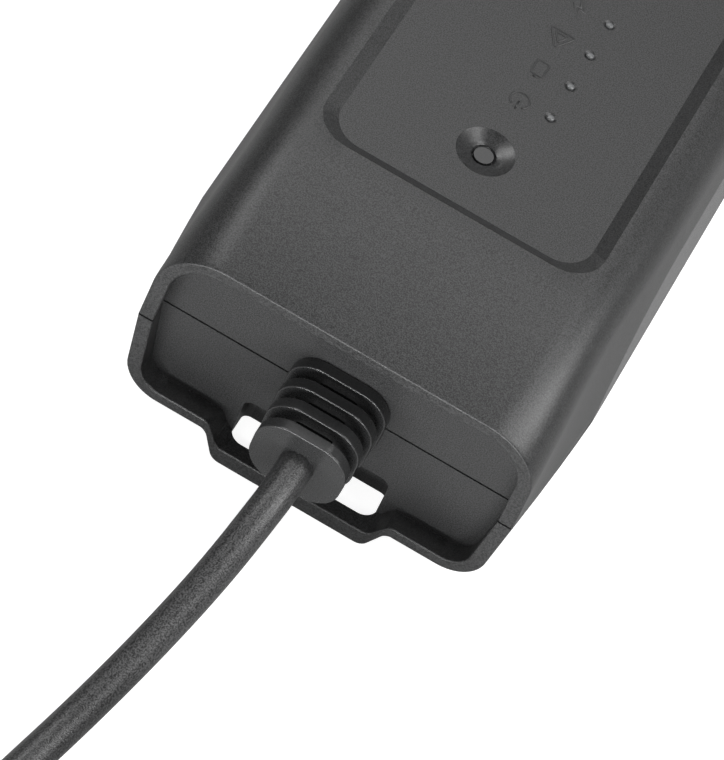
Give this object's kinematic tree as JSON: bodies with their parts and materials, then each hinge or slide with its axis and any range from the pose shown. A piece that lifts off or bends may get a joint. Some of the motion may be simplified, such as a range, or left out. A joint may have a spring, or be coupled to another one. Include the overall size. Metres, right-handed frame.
{
  "type": "portable electric vehicle charger",
  "caption": "Control box of a portable electric vehicle charger with flared hooded ends, sunk button panel, hanging slot, ribbed cable boot, mains lead and round earthed plug.",
  "frame": {"origin": "middle of the housing's length and width, on the plane its back lies on", "axes": "+Y from the mains end along the housing to the vehicle lead's end, +Z out of the panel, +X to the lights' side of the panel"},
  "size_m": [0.1366, 0.518, 0.0718],
  "materials": {
    "shell_plastic": "fine moulded grain",
    "button_plastic": "satin",
    "boot_rubber": "satin",
    "cord_rubber": "grained",
    "tie_fabric": "woven",
    "plug_plastic": "satin",
    "plated_brass": "nickel plated",
    "screw_steel": "zinc plated",
    "clamp_plastic": "plain",
    "laminate": "solder mask",
    "terminal_plastic": "plain",
    "relay_plastic": "smooth",
    "sensor_plastic": "potted",
    "transformer_wrap": "taped",
    "capacitor_sleeve": "shrunk sleeve",
    "filter_plastic": "smooth",
    "varistor_coat": "dipped",
    "fuse_metal": "plated",
    "chip_plastic": "moulded",
    "ribbon_plastic": "plain",
    "lamp_plastic": "clear",
    "light_pipe": "frosted",
    "switch_plastic": "plain",
    "live_insulation": "plain",
    "neutral_insulation": "plain",
    "earth_insulation": "plain"
  },
  "bodies": {
    "housing": {"upper_shell": "shell_plastic", "lower_shell": "shell_plastic", "shell_gasket": "boot_rubber", "shell_screws": "screw_steel", "strain_relief": "boot_rubber", "output_gland": "boot_rubber", "mains_lead_tail": "cord_rubber", "cable_clamp": "clamp_plastic", "clamp_screws": "screw_steel", "main_board": "laminate", "board_screws": "screw_steel", "mains_terminal_block": "terminal_plastic", "output_terminal_block": "terminal_plastic", "live_relay": "relay_plastic", "neutral_relay": "relay_plastic", "leakage_sensor": "sensor_plastic", "supply_transformer": "transformer_wrap", "bulk_capacitor": "capacitor_sleeve", "filter_capacitors": "filter_plastic", "surge_varistor": "varistor_coat", "fuse_link": "fuse_metal", "controller_chip": "chip_plastic", "buzzer": "chip_plastic", "ribbon_cable": "ribbon_plastic", "indicator_board": "laminate", "indicator_screws": "screw_steel", "indicator_lights": "lamp_plastic", "light_pipes": "light_pipe", "button_switch": "switch_plastic", "live_wire": "live_insulation", "earth_wire": "earth_insulation", "neutral_wire": "neutral_insulation", "mains_cord": "cord_rubber", "cord_coil": "cord_rubber", "cord_tie": "tie_fabric", "plug_lead": "cord_rubber", "plug_strain_relief": "boot_rubber", "plug_body": "plug_plastic", "plug_pins": "plated_brass", "plug_earth_contacts": "plated_brass"},
    "button": {"push_button": "button_plastic", "switch_plunger": "switch_plastic"}
  },
  "joints": [
    {"name": "button_press", "type": "slide", "parent": "housing", "child": "button", "axis": [0, 0, -1], "range_m": [0, 0.0006], "stiffness_N_per_m": 500}
  ]
}
